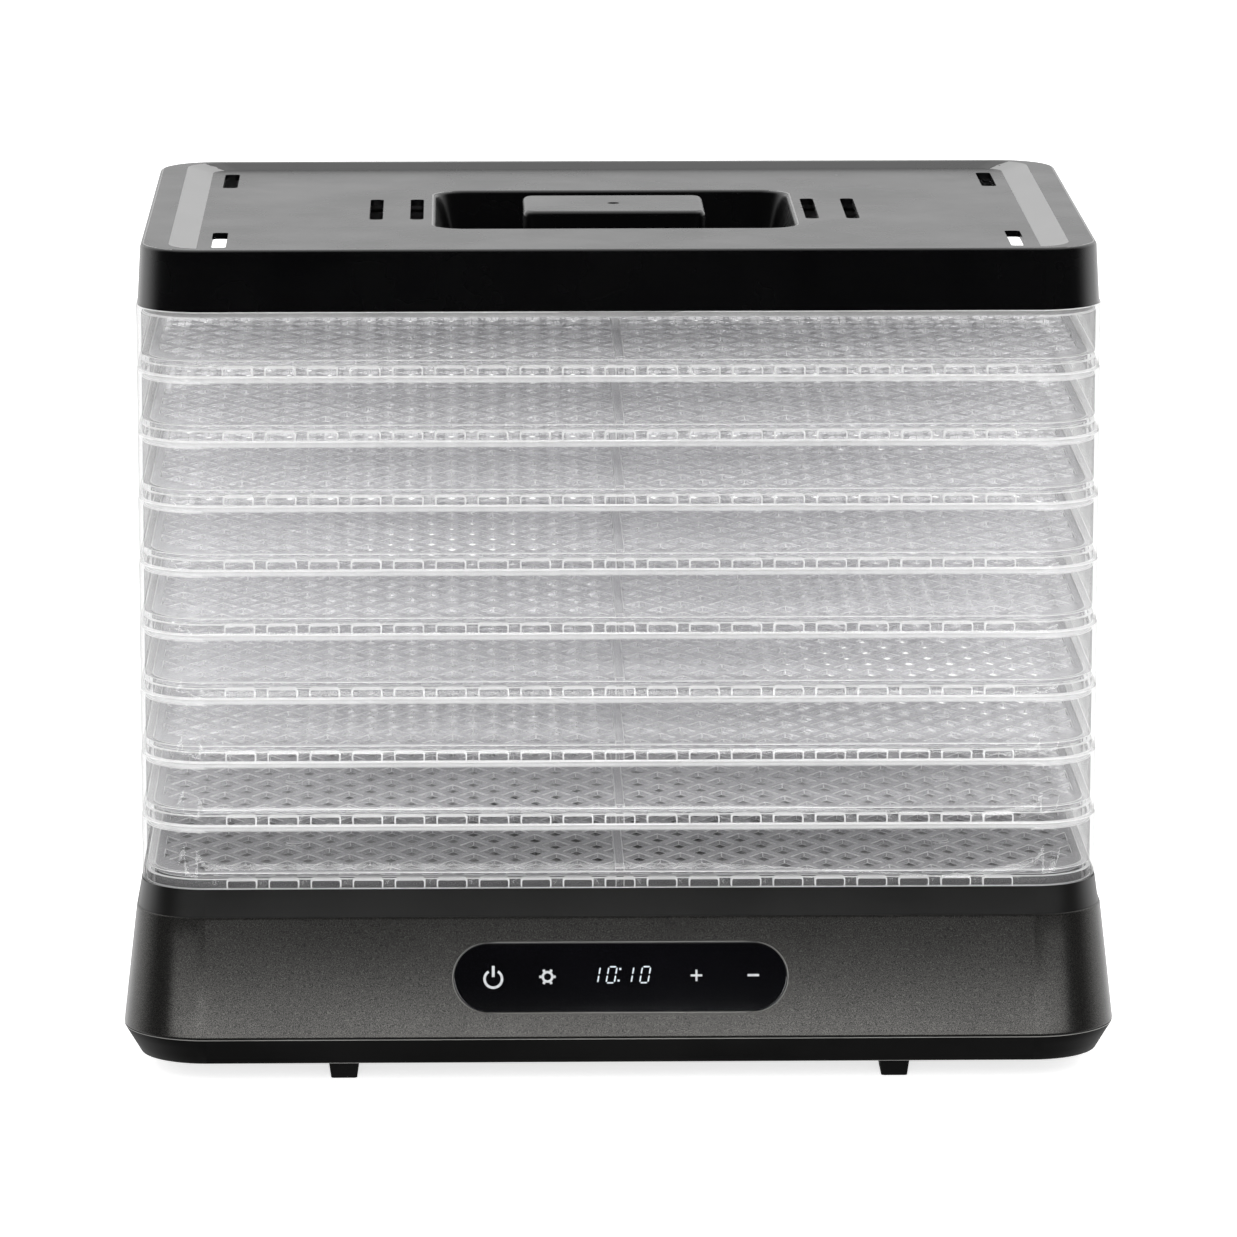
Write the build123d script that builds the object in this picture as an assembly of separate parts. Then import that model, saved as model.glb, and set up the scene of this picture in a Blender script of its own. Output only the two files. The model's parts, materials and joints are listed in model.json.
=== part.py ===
from build123d import *
import math
import os

os.makedirs("parts", exist_ok=True)

# Stackable food dehydrator. Millimetres, +Z up, +X to the user's right, +Y to the rear.
# The origin is on the table, under the middle of the base. The front is -Y.

# ---- trays: rectangular, clear, stacked rim on rim ----
tray_count = 9
tray_width = 393.0
tray_depth = 282.5
tray_corner = 26.7
tray_height = 26.5
tray_flare = 0.35  # how much wider each side of a tray is at its rim than at its foot
tray_wall = 1.8
rim_height = 2.8
rim_width = 3.2
nest_clearance = 0.6  # gap between a rim and what nests inside it
nest_depth = 2.5
skirt_wall = 1.6
floor_drop = 4.0  # underside of the floor above the tray's foot
floor_thickness = 2.2
window_width = 12.0
window_height = 3.9
window_corner = 1.0
window_pitch = 17.2
window_sill = -0.3  # bottom of the windows, from the tray's foot
grip_width = 50.0
grip_height = 6.3
grip_recess = 1.0

# ---- lattice of each tray's floor ----
mesh_pitch_x = 17.1
mesh_pitch_y = 24.5
mesh_open_share = 0.67  # size of a hole against the cell that it sits in
mesh_border = 3.5
rib_width = 3.6
rib_rise = 1.2
boss_radius = 3.4
boss_rise = 0.9
boss_x = 134.5
boss_y = 82.5

# ---- lid ----
lid_height = 25.0
lid_inset = 0.7  # foot of the lid inside the tray's outline
lid_flare = 1.4
lid_wall = 2.6
lid_edge_radius = 1.8
lid_lip_wall = 2.0
lid_flange = 3.0
lid_rim_side = 11.7
lid_rim_front = 5.0
lid_slope_side = 11.0
lid_slope_front = 5.5
lid_dish = 2.5
dish_corner = 10.0
well_width = 150.0
well_depth = 117.0
well_corner = 13.0
well_taper = 16.0
well_drop = 18.0  # from the dish down to the well's floor
well_edge_radius = 2.0
corner_vent = (6.3, 44.0)
corner_vent_x = 163.0
corner_vent_y = 91.5
middle_vent = (5.6, 62.0)
middle_vent_x = (82.5, 99.5)
vent_corner = 2.0
handle_width = 76.0
handle_depth = 52.0
handle_corner = 5.0
handle_edge_radius = 2.4
handle_wall = 2.6
handle_mark_radius = 2.5
handle_mark_depth = 1.5
handle_boss_radius = 4.0
handle_boss_x = 25.0

# ---- base shells ----
foot_height = 10.3
cover_height = 11.7
cover_run = 7.0
body_height = 50.0
body_run = 5.7
body_ledge = 0.7
neck_height = 11.3
neck_run = 1.6
base_wall = 2.6
base_edge_radius = 0.9
shell_clearance = 0.3
lip_height = 4.0
deck_thickness = 2.5
deck_sink = 4.0  # top of the deck plate below the bottom tray's foot

# ---- feet ----
foot_x = 113.7
foot_front_face = 125.3
foot_length = 22.0
foot_width = 10.8
foot_taper = 8.0
foot_corner = 1.5
foot_stem_radius = 2.5
foot_stem_grip = 2.0

# ---- control panel ----
panel_width = 136.4
panel_height = 28.2
panel_z = 47.1
panel_thickness = 1.7
panel_seat = 1.2
panel_clearance = 0.25
panel_edge_radius = 0.4
window_cut_width = 118.0
window_cut_height = 19.0
display_width = 28.0
display_height = 12.0
display_offset = 1.4
touch_offsets = (-52.0, -30.0, 31.0, 54.3)
touch_radius = 3.2
board_gap = 7.5  # display board behind the panel's back face
display_board_width = 140.0
display_screw_x = 66.0
display_board_height = 24.0
board_thickness = 1.6

# ---- fan, motor and heater, on the vertical axis through the origin ----
duct_radius = 70.0
duct_wall = 1.5
duct_foot_z = 34.0
duct_flange_radius = 80.0
duct_flange_thickness = 2.0
duct_boss_radius = 4.0
duct_boss_height = 4.0
duct_screw_ring = 76.0
lug_height = 4.0
grille_radius = 72.0
grille_thickness = 2.0
grille_slot = 4.0
grille_land = 4.0
grille_spokes = 6
outlet_radius = 66.0
intake_inner = 36.0
intake_outer = 64.0
intake_slot = 4.0
intake_slots = 24
motor_radius = 30.0
motor_height = 17.8
motor_wall = 1.2
shaft_radius = 1.5
shaft_clearance = 0.05
bearing_radius = 4.0
bearing_length = 4.5
bearing_seat_wall = 2.0
stator_inner = 20.0
stator_height = 11.0
stator_teeth = 6
rotor_gap = 0.6
rotor_height = 10.0
bracket_thickness = 1.2
bracket_width = 26.0
motor_screw_x = 16.0
fan_radius = 66.0
fan_hub_radius = 17.0
fan_hub_height = 16.0
fan_hub_wall = 2.0
fan_lift = 4.0  # impeller hub above the motor bracket
blade_count = 7
blade_thickness = 1.8
blade_root = (22.0, 40.0)  # chord and pitch angle
blade_tip = (30.0, 20.0)
nut_radius = 4.0
nut_height = 3.5
heater_gap = 6.0  # mica cross above the impeller hub
heater_height = 12.0
mica_thickness = 1.2
coil_radii = (26.0, 39.0, 52.0, 62.0)
coil_wire = 1.2
mica_clearance = 0.2
heater_ledge = 3.5
fuse_radius = 2.4
fuse_length = 11.0
sensor_radius = 1.6
sensor_length = 14.0
cutout_radius = 7.0
cutout_height = 5.0

# ---- electronics ----
power_board_size = (78.0, 120.0)
power_board_centre = (-128.0, 20.0)
standoff_height = 7.5
standoff_radius = 3.5
standoff_inset = 6.0
lead_radius = 1.0
lead_gap = 9.0  # between the heater's two leads
cable_radius = 2.0
cable_bend = 6.0
terminal_size = (18.0, 34.0, 16.0)
terminal_x = 104.0
connector_size = (10.0, 14.0, 9.0)

# ---- fasteners and cord inlet ----
screw_radius = 1.75
screw_head_radius = 3.4
screw_head_height = 2.0
screw_clearance = 0.4
base_screw_spots = ((170.0, 112.0), (170.0, -100.0), (-170.0, 112.0), (-170.0, -100.0), (0.0, 122.0))
base_boss_radius = 5.0
base_boss_split = 30.0
screw_bite = 10.0
gland_x = 120.0
gland_z = 54.0
gland_bore = 3.6
gland_radius = 7.0
gland_flange_radius = 9.5
gland_flange = 2.0
gland_proud = 2.8
gland_inner_length = 9.0

# ---- heights that follow from the sizes above ----
cover_top = foot_height + cover_height
body_top = cover_top + body_height
stack_foot = body_top + neck_height
lid_foot = stack_foot + tray_count * tray_height
lid_top = lid_foot + lid_height
cover_floor = foot_height + base_wall
deck_top = stack_foot - deck_sink
deck_underside = deck_top - deck_thickness
base_spread = neck_run + body_ledge + body_run
skirt_inset = rim_width + nest_clearance
bracket_z = duct_foot_z - bracket_thickness
motor_foot_z = bracket_z - motor_height
fan_foot_z = duct_foot_z + fan_lift
fan_top_z = fan_foot_z + fan_hub_height
heater_z = fan_top_z + heater_gap
parts_made = {}


# ---- small helpers ----
def outline(spread=0.0, corner_spread=None):
    """The tray's rounded rectangle, grown on every side by spread."""
    grown = spread if corner_spread is None else corner_spread
    return RectangleRounded(tray_width + 2 * spread, tray_depth + 2 * spread, tray_corner + grown)


def prism(sketch, low, high):
    """The sketch, extruded from height low to height high."""
    return extrude(Pos(0, 0, low) * sketch, high - low)


def tapered(spread_low, spread_high, low, high):
    """A solid that runs from one spread of the tray's outline to another."""
    angle = math.degrees(math.atan2(spread_low - spread_high, high - low))
    return extrude(Pos(0, 0, low) * outline(spread_low), high - low, taper=angle)


def disc(radius, low, high, x=0.0, y=0.0):
    """An upright cylinder between two heights."""
    return Pos(x, y, low) * Cylinder(radius, high - low, align=(Align.CENTER, Align.CENTER, Align.MIN))


def tube(outer, inner, low, high, x=0.0, y=0.0):
    """An upright pipe between two heights."""
    return disc(outer, low, high, x, y) - disc(inner, low, high, x, y)


def block(size_x, size_y, low, high, x=0.0, y=0.0):
    """An upright box between two heights."""
    return Pos(x, y, low) * Box(size_x, size_y, high - low, align=(Align.CENTER, Align.CENTER, Align.MIN))


def screw(head_z, tip_z, x, y):
    """A round-head screw whose head meets the work at head_z and whose shank ends at tip_z."""
    way = 1 if tip_z > head_z else -1
    low, high = sorted((head_z, tip_z))
    head_low, head_high = sorted((head_z, head_z - way * screw_head_height))
    return disc(screw_radius, low, high, x, y) + disc(screw_head_radius, head_low, head_high, x, y)


def body_spread(z):
    """How far the sloping body stands out from the tray's outline at height z."""
    return base_spread - body_run * (z - cover_top) / body_height


def slope_plane(z, side):
    """A plane on the sloping front (side -1) or rear (side +1) face of the body, facing out."""
    tilt = math.atan2(body_run, body_height)
    face_y = side * (tray_depth / 2 + body_spread(z))
    normal = (0, side * math.cos(tilt), math.sin(tilt))
    return Plane(origin=(0, face_y, z), x_dir=(-side, 0, 0), z_dir=normal)


def make(name, *solids):
    """Writes one sub-part, as one or more separate solids, to parts/NAME.step."""
    found = [s for shape in solids for s in shape.solids()]
    shape = found[0] if len(found) == 1 else Compound(children=found)
    export_step(shape, os.path.join("parts", name + ".step"), write_pcurves=False)
    parts_made[name] = shape


# ---- trays ----
def skirt_windows(foot):
    """Cutters for the row of vents low in the tray's skirt, on all four sides."""
    shape = RectangleRounded(window_width, window_height, window_corner)
    middle = foot + window_sill + window_height / 2
    reach = skirt_wall * 3
    cutters = []
    for along_x, span, face in (
        (True, tray_width, tray_depth / 2 - skirt_inset),
        (False, tray_depth, tray_width / 2 - skirt_inset),
    ):
        free = span / 2 - tray_corner - window_width / 2
        steps = int(free / window_pitch)
        for side in (-1, 1):
            for step in range(-steps, steps + 1):
                if along_x:
                    plane = Plane(
                        origin=(step * window_pitch, side * face, middle), x_dir=(1, 0, 0), z_dir=(0, side, 0)
                    )
                else:
                    plane = Plane(
                        origin=(side * face, step * window_pitch, middle), x_dir=(0, 1, 0), z_dir=(side, 0, 0)
                    )
                cutters.append(extrude(plane * shape, reach / 2, both=True))
    return cutters


def grip_cutter(top, side):
    """A lens-shaped thumb recess below the rim, in the middle of the front or rear wall."""
    radius = (grip_width**2 / 4 + grip_height**2) / (2 * grip_height)
    face = side * tray_depth / 2
    plane = Plane(origin=(0, face, top + radius - grip_height), x_dir=(1, 0, 0), z_dir=(0, side, 0))
    return extrude(plane * Circle(radius), grip_recess, both=True) & block(
        grip_width, 4 * grip_recess, top - grip_height, top, 0, face
    )


def tray_frame(foot):
    """The wall, the rim and the nesting skirt of one tray, as one ring."""
    top = foot + tray_height
    shelf_top = foot + floor_drop + floor_thickness
    ring = tapered(-tray_flare, 0.0, foot, top)
    ring -= prism(outline(-tray_wall - tray_flare), shelf_top, top - rim_height)
    ring -= prism(outline(-rim_width), top - rim_height, top)
    ring -= prism(outline(-tray_wall - tray_flare) - outline(-skirt_inset), foot, foot + floor_drop)
    ring -= prism(outline(-skirt_inset - skirt_wall), foot, shelf_top)
    ring += prism(outline(-skirt_inset) - outline(-skirt_inset - skirt_wall), foot - nest_depth, foot)
    ring = ring - skirt_windows(foot) - [grip_cutter(top, -1), grip_cutter(top, 1)]
    skirt_middle = tray_depth / 2 - skirt_inset - skirt_wall / 2
    post = block(rib_width, skirt_wall, foot - nest_depth, foot + floor_drop)
    return ring + [Pos(0, side * skirt_middle, 0) * post for side in (-1, 1)]


def clipped(points, keep):
    """The part of a polygon on the side of a line where keep, a signed distance, is positive."""
    kept = []
    for a, b in zip(points, points[1:] + points[:1]):
        da, db = keep(a), keep(b)
        if da >= 0:
            kept.append(a)
        if (da > 0) != (db > 0) and da != db and abs(da) > 1e-9 and abs(db) > 1e-9:
            share = da / (da - db)
            kept.append((a[0] + share * (b[0] - a[0]), a[1] + share * (b[1] - a[1])))
    return kept


def area_of(points):
    """The area of a polygon."""
    pairs = zip(points, points[1:] + points[:1])
    return abs(sum(a[0] * b[1] - b[0] * a[1] for a, b in pairs)) / 2


def mesh_holes():
    """The outlines of the lattice's holes: staggered rhombi, cut short at the border and the rib."""
    half_x = tray_width / 2 - skirt_inset - skirt_wall - mesh_border
    half_y = tray_depth / 2 - skirt_inset - skirt_wall - mesh_border
    corner = tray_corner - skirt_inset - skirt_wall - mesh_border
    reach_x = mesh_pitch_x / 2 * mesh_open_share
    reach_y = mesh_pitch_y / 2 * mesh_open_share
    smallest = 0.3 * reach_x * reach_y
    edges = [
        lambda p: half_x - p[0],
        lambda p: half_x + p[0],
        lambda p: half_y - p[1],
        lambda p: half_y + p[1],
    ]
    columns = int(half_x / (mesh_pitch_x / 2)) + 1
    rows = int(half_y / (mesh_pitch_y / 2)) + 1
    holes = []
    for column in range(-columns, columns + 1):
        for row in range(-rows, rows + 1):
            if (column + row) % 2:
                continue
            x, y = column * mesh_pitch_x / 2, row * mesh_pitch_y / 2
            rhombus = [(x + reach_x, y), (x, y + reach_y), (x - reach_x, y), (x, y - reach_y)]
            for edge in edges:
                rhombus = clipped(rhombus, edge) if rhombus else rhombus
            if column == 0:
                halves = [
                    clipped(rhombus, lambda p: p[0] - rib_width / 2),
                    clipped(rhombus, lambda p: -p[0] - rib_width / 2),
                ]
            else:
                halves = [rhombus]
            for hole in halves:
                if len(hole) < 3 or area_of(hole) < smallest:
                    continue
                over = max(
                    math.hypot(max(0, abs(px) - half_x + corner), max(0, abs(py) - half_y + corner))
                    for px, py in hole
                )
                if over <= corner + 1e-6:
                    holes.append(hole)
    return holes


def mesh_face():
    """The flat lattice, drawn once and used for every tray."""
    border = outline(-skirt_inset - skirt_wall).faces()[0].outer_wire()
    wires = [Wire.make_polygon([(x, y, 0) for x, y in hole], close=True) for hole in mesh_holes()]
    return Face(border, wires)


def tray_floor(face, foot):
    """The lattice floor of one tray, with its middle rib and four locating bosses."""
    low = foot + floor_drop
    high = low + floor_thickness
    plate = Solid.extrude(face, Vector(0, 0, floor_thickness)).moved(Location((0, 0, low)))
    rib_length = tray_depth - 2 * (skirt_inset + skirt_wall)
    rib = block(rib_width, rib_length, high, high + rib_rise)
    bosses = [
        disc(boss_radius, low, high + boss_rise, sx * boss_x, sy * boss_y) for sx in (-1, 1) for sy in (-1, 1)
    ]
    return plate + [rib] + bosses


# ---- lid ----
def rounded_box(width, depth, corner, low, high, taper=0.0):
    """A rounded rectangle, extruded between two heights, drawn at its upper face."""
    return extrude(Pos(0, 0, high) * RectangleRounded(width, depth, corner), low - high, taper=taper)


def lid_dish_cutter():
    """The shallow dish in the lid's top, steeper at the front and rear than at the sides."""
    width = tray_width - 2 * (lid_inset + lid_flare)
    depth = tray_depth - 2 * (lid_inset + lid_flare)
    top_size = (width - 2 * lid_rim_side, depth - 2 * lid_rim_front)
    low_size = (top_size[0] - 2 * lid_slope_side, top_size[1] - 2 * lid_slope_front)
    top = Pos(0, 0, lid_top) * RectangleRounded(*top_size, dish_corner + lid_slope_front)
    low = Pos(0, 0, lid_top - lid_dish) * RectangleRounded(*low_size, dish_corner)
    return loft([low, top], ruled=True)


def lid_shell():
    """The lid: a flared cap with a dished top, a finger well, vents and a nesting lip."""
    dish_z = lid_top - lid_dish
    shell = tapered(-lid_inset, -lid_inset - lid_flare, lid_foot, lid_top)
    shell = fillet(shell.edges().group_by(Axis.Z)[-1], lid_edge_radius)
    inside = tapered(-lid_inset - lid_wall, -lid_inset - lid_flare - lid_wall, lid_foot, dish_z - lid_wall)
    well_floor = dish_z - well_drop
    well = rounded_box(well_width, well_depth, well_corner, well_floor, dish_z, well_taper)
    tub = rounded_box(
        well_width + 2 * lid_wall,
        well_depth + 2 * lid_wall,
        well_corner + lid_wall,
        well_floor - lid_wall,
        dish_z,
        well_taper,
    )
    shell = shell - inside + tub - well - lid_dish_cutter()
    mouth = [e for e in shell.edges() if abs(e.center().Z - dish_z) < 0.01 and is_well_edge(e)]
    shell = fillet(mouth, well_edge_radius)
    lip_inset = skirt_inset
    flange = outline(-lid_inset - lid_wall / 2) - outline(-lip_inset - lid_lip_wall)
    shell += prism(flange, lid_foot, lid_foot + lid_flange)
    shell += prism(outline(-lip_inset) - outline(-lip_inset - lid_lip_wall), lid_foot - nest_depth, lid_foot)
    corner_slot = rounded_box(*corner_vent, vent_corner, well_floor, lid_top)
    middle_slot = rounded_box(*middle_vent, vent_corner, well_floor, lid_top)
    vents = [Pos(sx * corner_vent_x, sy * corner_vent_y, 0) * corner_slot for sx in (-1, 1) for sy in (-1, 1)]
    vents += [Pos(sx * x, 0, 0) * middle_slot for sx in (-1, 1) for x in middle_vent_x]
    hole = disc(screw_radius + screw_clearance, lid_foot, well_floor + 1)
    return shell - vents - [Pos(side * handle_boss_x, 0, 0) * hole for side in (-1, 1)]


def is_well_edge(edge):
    """True for an edge that lies round the mouth of the lid's finger well."""
    box = edge.bounding_box()
    reach_x = max(abs(box.min.X), abs(box.max.X))
    reach_y = max(abs(box.min.Y), abs(box.max.Y))
    return reach_x <= well_width / 2 + 0.01 and reach_y <= well_depth / 2 + 0.01


def lid_handle():
    """The hollow grip that stands in the finger well, level with the lid's rim."""
    low = lid_top - lid_dish - well_drop
    grip = rounded_box(handle_width, handle_depth, handle_corner, low, lid_top)
    grip = fillet(grip.edges().group_by(Axis.Z)[-1], handle_edge_radius)
    grip -= rounded_box(
        handle_width - 2 * handle_wall,
        handle_depth - 2 * handle_wall,
        handle_corner - handle_wall,
        low,
        lid_top - handle_wall,
    )
    grip += [disc(handle_boss_radius, low, lid_top - handle_wall, s * handle_boss_x) for s in (-1, 1)]
    grip -= [disc(screw_radius, low, low + screw_bite, s * handle_boss_x) for s in (-1, 1)]
    return grip - disc(handle_mark_radius, lid_top - handle_mark_depth, lid_top)


def lid_handle_screws():
    """The two screws that hold the grip from under the well."""
    underside = lid_top - lid_dish - well_drop - lid_wall
    tip = underside + lid_wall + screw_bite - 1
    return [screw(underside, tip, s * handle_boss_x, 0) for s in (-1, 1)]


# ---- base shells ----
def base_deck():
    """The black top of the base: the neck that carries the trays, and the plate inside it."""
    deck = tapered(neck_run, 0.0, body_top, stack_foot)
    deck -= prism(outline(-rim_width), deck_top, stack_foot)
    deck -= prism(outline(-rim_width), body_top, deck_underside)
    lip_spread = body_spread(body_top) - base_wall - shell_clearance
    lip = prism(outline(lip_spread) - outline(-rim_width), body_top - lip_height, body_top)
    deck += lip
    deck += [disc(base_boss_radius, base_boss_split, deck_underside, x, y) for x, y in base_screw_spots]
    deck += [disc(duct_boss_radius, duct_flange_z(), deck_underside, x, y) for x, y in duct_screw_spots()]
    deck -= disc(outlet_radius, deck_underside, deck_top)
    bite_top = base_boss_split + screw_bite
    deck -= [disc(screw_radius, base_boss_split, bite_top, x, y) for x, y in base_screw_spots]
    deck -= [disc(screw_radius, duct_flange_z(), deck_underside, x, y) for x, y in duct_screw_spots()]
    return deck - [disc(screw_radius, deck_underside, deck_top, x, y) for x, y in grille_screw_spots()]


def base_housing():
    """The sloping band that holds the control panel and the cord gland."""
    shell = tapered(base_spread, base_spread - body_run, cover_top, body_top)
    ends = shell.edges().group_by(Axis.Z)
    shell = fillet(ends[0] + ends[-1], base_edge_radius)
    shell -= tapered(base_spread - base_wall, base_spread - body_run - base_wall, cover_top, body_top)
    front = slope_plane(panel_z, -1)
    pocket = RectangleRounded(
        panel_width + 2 * panel_clearance,
        panel_height + 2 * panel_clearance,
        panel_height / 2 + panel_clearance - 0.01,
    )
    shell -= extrude(front * pocket, -panel_seat)
    shell -= extrude(front * RectangleRounded(window_cut_width, window_cut_height, 2), -2 * base_wall)
    board = display_board_plane()
    reach = panel_seat + board_gap - base_wall
    shell += [extrude(board * Pos(s * display_screw_x, 0, 0) * Circle(3), reach + 0.5) for s in (-1, 1)]
    shell -= [extrude(board * Pos(s * display_screw_x, 0, 0) * Circle(screw_radius), reach) for s in (-1, 1)]
    return shell - gland_hole()


def gland_hole():
    """The hole for the cord gland, low in the rear face."""
    rear = tray_depth / 2 + body_spread(gland_z)
    plane = Plane(origin=(gland_x, rear, gland_z), x_dir=(1, 0, 0), z_dir=(0, 1, 0))
    return extrude(plane * Circle(gland_radius), 3 * base_wall, both=True)


def base_cover():
    """The bottom pan, with its bevelled edge, fan intake, bosses and standoffs."""
    pan = tapered(base_spread - cover_run, base_spread, foot_height, cover_top)
    run = cover_run * base_wall / cover_height
    pan -= tapered(
        base_spread - cover_run + run - base_wall, base_spread - base_wall, cover_floor, cover_top
    )
    lip = base_spread - base_wall - shell_clearance
    draft = body_run * lip_height / body_height
    lip_ring = outline(lip - draft) - outline(lip - draft - base_wall)
    pan += prism(lip_ring, cover_top - lip_height, cover_top + lip_height)
    pan += [disc(base_boss_radius, cover_floor, base_boss_split, x, y) for x, y in base_screw_spots]
    post_top = power_board_low()
    pan += [disc(standoff_radius, cover_floor, post_top, x, y) for x, y in standoff_spots()]
    pan -= [disc(screw_radius, cover_floor, post_top, x, y) for x, y in standoff_spots()]
    sunk = foot_height + 2 * screw_head_height
    for x, y in base_screw_spots:
        pan -= disc(screw_head_radius + screw_clearance, foot_height, sunk, x, y)
        pan -= disc(screw_radius + screw_clearance, sunk, base_boss_split, x, y)
    pan -= [disc(foot_stem_radius, foot_height, cover_floor, x, y) for x, y in foot_spots()]
    slot_middle = (intake_inner + intake_outer) / 2
    slot = block(intake_outer - intake_inner, intake_slot, foot_height, cover_floor, slot_middle)
    return pan - [Rot(0, 0, 360 / intake_slots * i) * slot for i in range(intake_slots)]


def foot_spots():
    """Where the four feet stand."""
    y = foot_front_face - foot_length / 2
    return [(sx * foot_x, sy * y) for sy in (-1, 1) for sx in (-1, 1)]


def foot(x, y):
    """A tapered rubber foot with a stem that plugs into the cover."""
    pad = extrude(
        Pos(x, y, 0) * RectangleRounded(foot_width, foot_length, foot_corner), foot_height, taper=-foot_taper
    )
    return pad + disc(foot_stem_radius, foot_height, cover_floor + foot_stem_grip, x, y)


def cord_gland():
    """The bush that a mains cord would pass through. It keeps inside the base's widest outline."""
    rear = tray_depth / 2 + body_spread(gland_z)
    seat = rear + gland_radius * body_run / body_height
    plane = Plane(origin=(gland_x, seat, gland_z), x_dir=(1, 0, 0), z_dir=(0, 1, 0))
    bush = extrude(plane * Circle(gland_radius), gland_proud - gland_flange)
    bush += extrude(plane * Circle(gland_radius), -gland_inner_length)
    outer = plane.offset(gland_proud - gland_flange)
    bush += extrude(outer * Circle(gland_flange_radius), gland_flange)
    return bush - extrude(outer * Circle(gland_bore), 2 * gland_inner_length, both=True)


# ---- control panel ----
def control_panel():
    """The glossy touch panel, a pill-shaped sheet seated in the front face."""
    front = slope_plane(panel_z, -1)
    sheet = RectangleRounded(panel_width, panel_height, panel_height / 2 - 0.01)
    lens = extrude(front * Pos(0, 0, -panel_seat) * sheet, panel_thickness)
    rim = [e for e in lens.edges() if on_plane(e, front, panel_thickness - panel_seat)]
    return fillet(rim, panel_edge_radius)


def on_plane(edge, plane, height):
    """True if an edge lies at this height above a plane."""
    return abs(plane.to_local_coords(edge.center()).Z - height) < 0.01


def display_board_plane():
    """The plane of the display board's front face."""
    return slope_plane(panel_z, -1).offset(-panel_seat - board_gap)


def display_board():
    """The circuit board behind the control panel."""
    plane = display_board_plane()
    board = extrude(plane * Rectangle(display_board_width, display_board_height), -board_thickness)
    hole = Circle(screw_radius)
    holes = [extrude(plane * Pos(s * display_screw_x, 0, 0) * hole, -board_thickness) for s in (-1, 1)]
    return board - holes


def display_module():
    """The four-digit display block between the board and the panel."""
    plane = display_board_plane() * Pos(display_offset, 0, 0)
    return extrude(plane * RectangleRounded(display_width, display_height, 1), board_gap)


def touch_springs():
    """Sprung sensing pads that press on the back of the panel."""
    ring = Circle(touch_radius) - Circle(touch_radius / 2)
    return [extrude(display_board_plane() * Pos(x, 0, 0) * ring, board_gap) for x in touch_offsets]


# ---- fan and motor ----
def duct_flange_z():
    """The upper face of the duct's flange."""
    return deck_underside - duct_boss_height


def ring_spots(radius, count, start=0.0):
    """Points spaced evenly round the fan's axis."""
    angles = [math.radians(start + 360 / count * i) for i in range(count)]
    return [(radius * math.cos(a), radius * math.sin(a)) for a in angles]


def lug_x():
    """How far the duct's two lower lugs are from the axis."""
    return duct_radius + duct_wall + 6


def duct_screw_spots():
    """Where the duct is screwed up to the deck."""
    return ring_spots(duct_screw_ring, 4, 45)


def grille_screw_spots():
    """Where the outlet grille is screwed down to the deck."""
    return ring_spots((outlet_radius + grille_radius) / 2, 4, 0)


def air_duct():
    """The round duct that carries air from the fan through the heater."""
    top = deck_underside - shell_clearance
    outer = duct_radius + duct_wall
    duct = tube(outer, duct_radius, duct_foot_z, top)
    duct += tube(duct_flange_radius, duct_radius, duct_flange_z() - duct_flange_thickness, duct_flange_z())
    lugs = [block(16, 20, duct_foot_z, duct_foot_z + lug_height, s * lug_x()) for s in (-1, 1)]
    duct += [lug - disc(duct_radius, duct_foot_z, top) for lug in lugs]
    ledge = tube(outer, duct_radius - heater_ledge, heater_z - 2, heater_z) & (
        block(3 * duct_radius, 8, heater_z - 2, heater_z) + block(8, 3 * duct_radius, heater_z - 2, heater_z)
    )
    duct += ledge
    duct -= [disc(screw_radius, duct_foot_z, duct_foot_z + lug_height, s * lug_x()) for s in (-1, 1)]
    duct -= [
        disc(screw_radius + screw_clearance, duct_flange_z() - duct_flange_thickness, duct_flange_z(), x, y)
        for x, y in duct_screw_spots()
    ]
    duct -= sensor_rod(sensor_radius)
    return duct - lead_wires(lead_radius)


def outlet_grille():
    """The round guard over the warm-air outlet: rings joined by spokes."""
    low, high = deck_top, deck_top + grille_thickness
    guard = disc(grille_radius, low, high)
    radius = outlet_radius - grille_land
    while radius > 3 * grille_slot:
        guard -= tube(radius, radius - grille_slot, low, high)
        radius -= grille_slot + grille_land
    spoke = block(outlet_radius, grille_land, low, high, outlet_radius / 2)
    guard += [Rot(0, 0, 360 / grille_spokes * (i + 0.5)) * spoke for i in range(grille_spokes)]
    return guard - [disc(screw_radius, low, high, x, y) for x, y in grille_screw_spots()]


def grille_screws():
    """The four screws that hold the outlet grille."""
    head_z = deck_top + grille_thickness
    return [screw(head_z, deck_underside, x, y) for x, y in grille_screw_spots()]


def motor_bracket():
    """The steel strap under the duct that the motor hangs from."""
    length = 2 * (duct_radius + duct_wall + 14)
    strap = block(length, bracket_width, bracket_z, duct_foot_z)
    strap -= disc(bearing_radius + bearing_seat_wall, bracket_z, duct_foot_z)
    hole = disc(screw_radius + screw_clearance, bracket_z, duct_foot_z)
    return strap - [Pos(x, 0, 0) * hole for x in (-lug_x(), -motor_screw_x, motor_screw_x, lug_x())]


def motor_housing():
    """The motor's drawn cup, closed at the bottom, with the lower bearing's seat."""
    top = bracket_z - motor_wall
    floor = motor_foot_z + motor_wall
    cup = disc(motor_radius, motor_foot_z, top) - disc(motor_radius - motor_wall, floor, top)
    cup += disc(bearing_radius + bearing_seat_wall, floor, floor + bearing_length)
    return cup - disc(bearing_radius, floor, floor + bearing_length)


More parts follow.
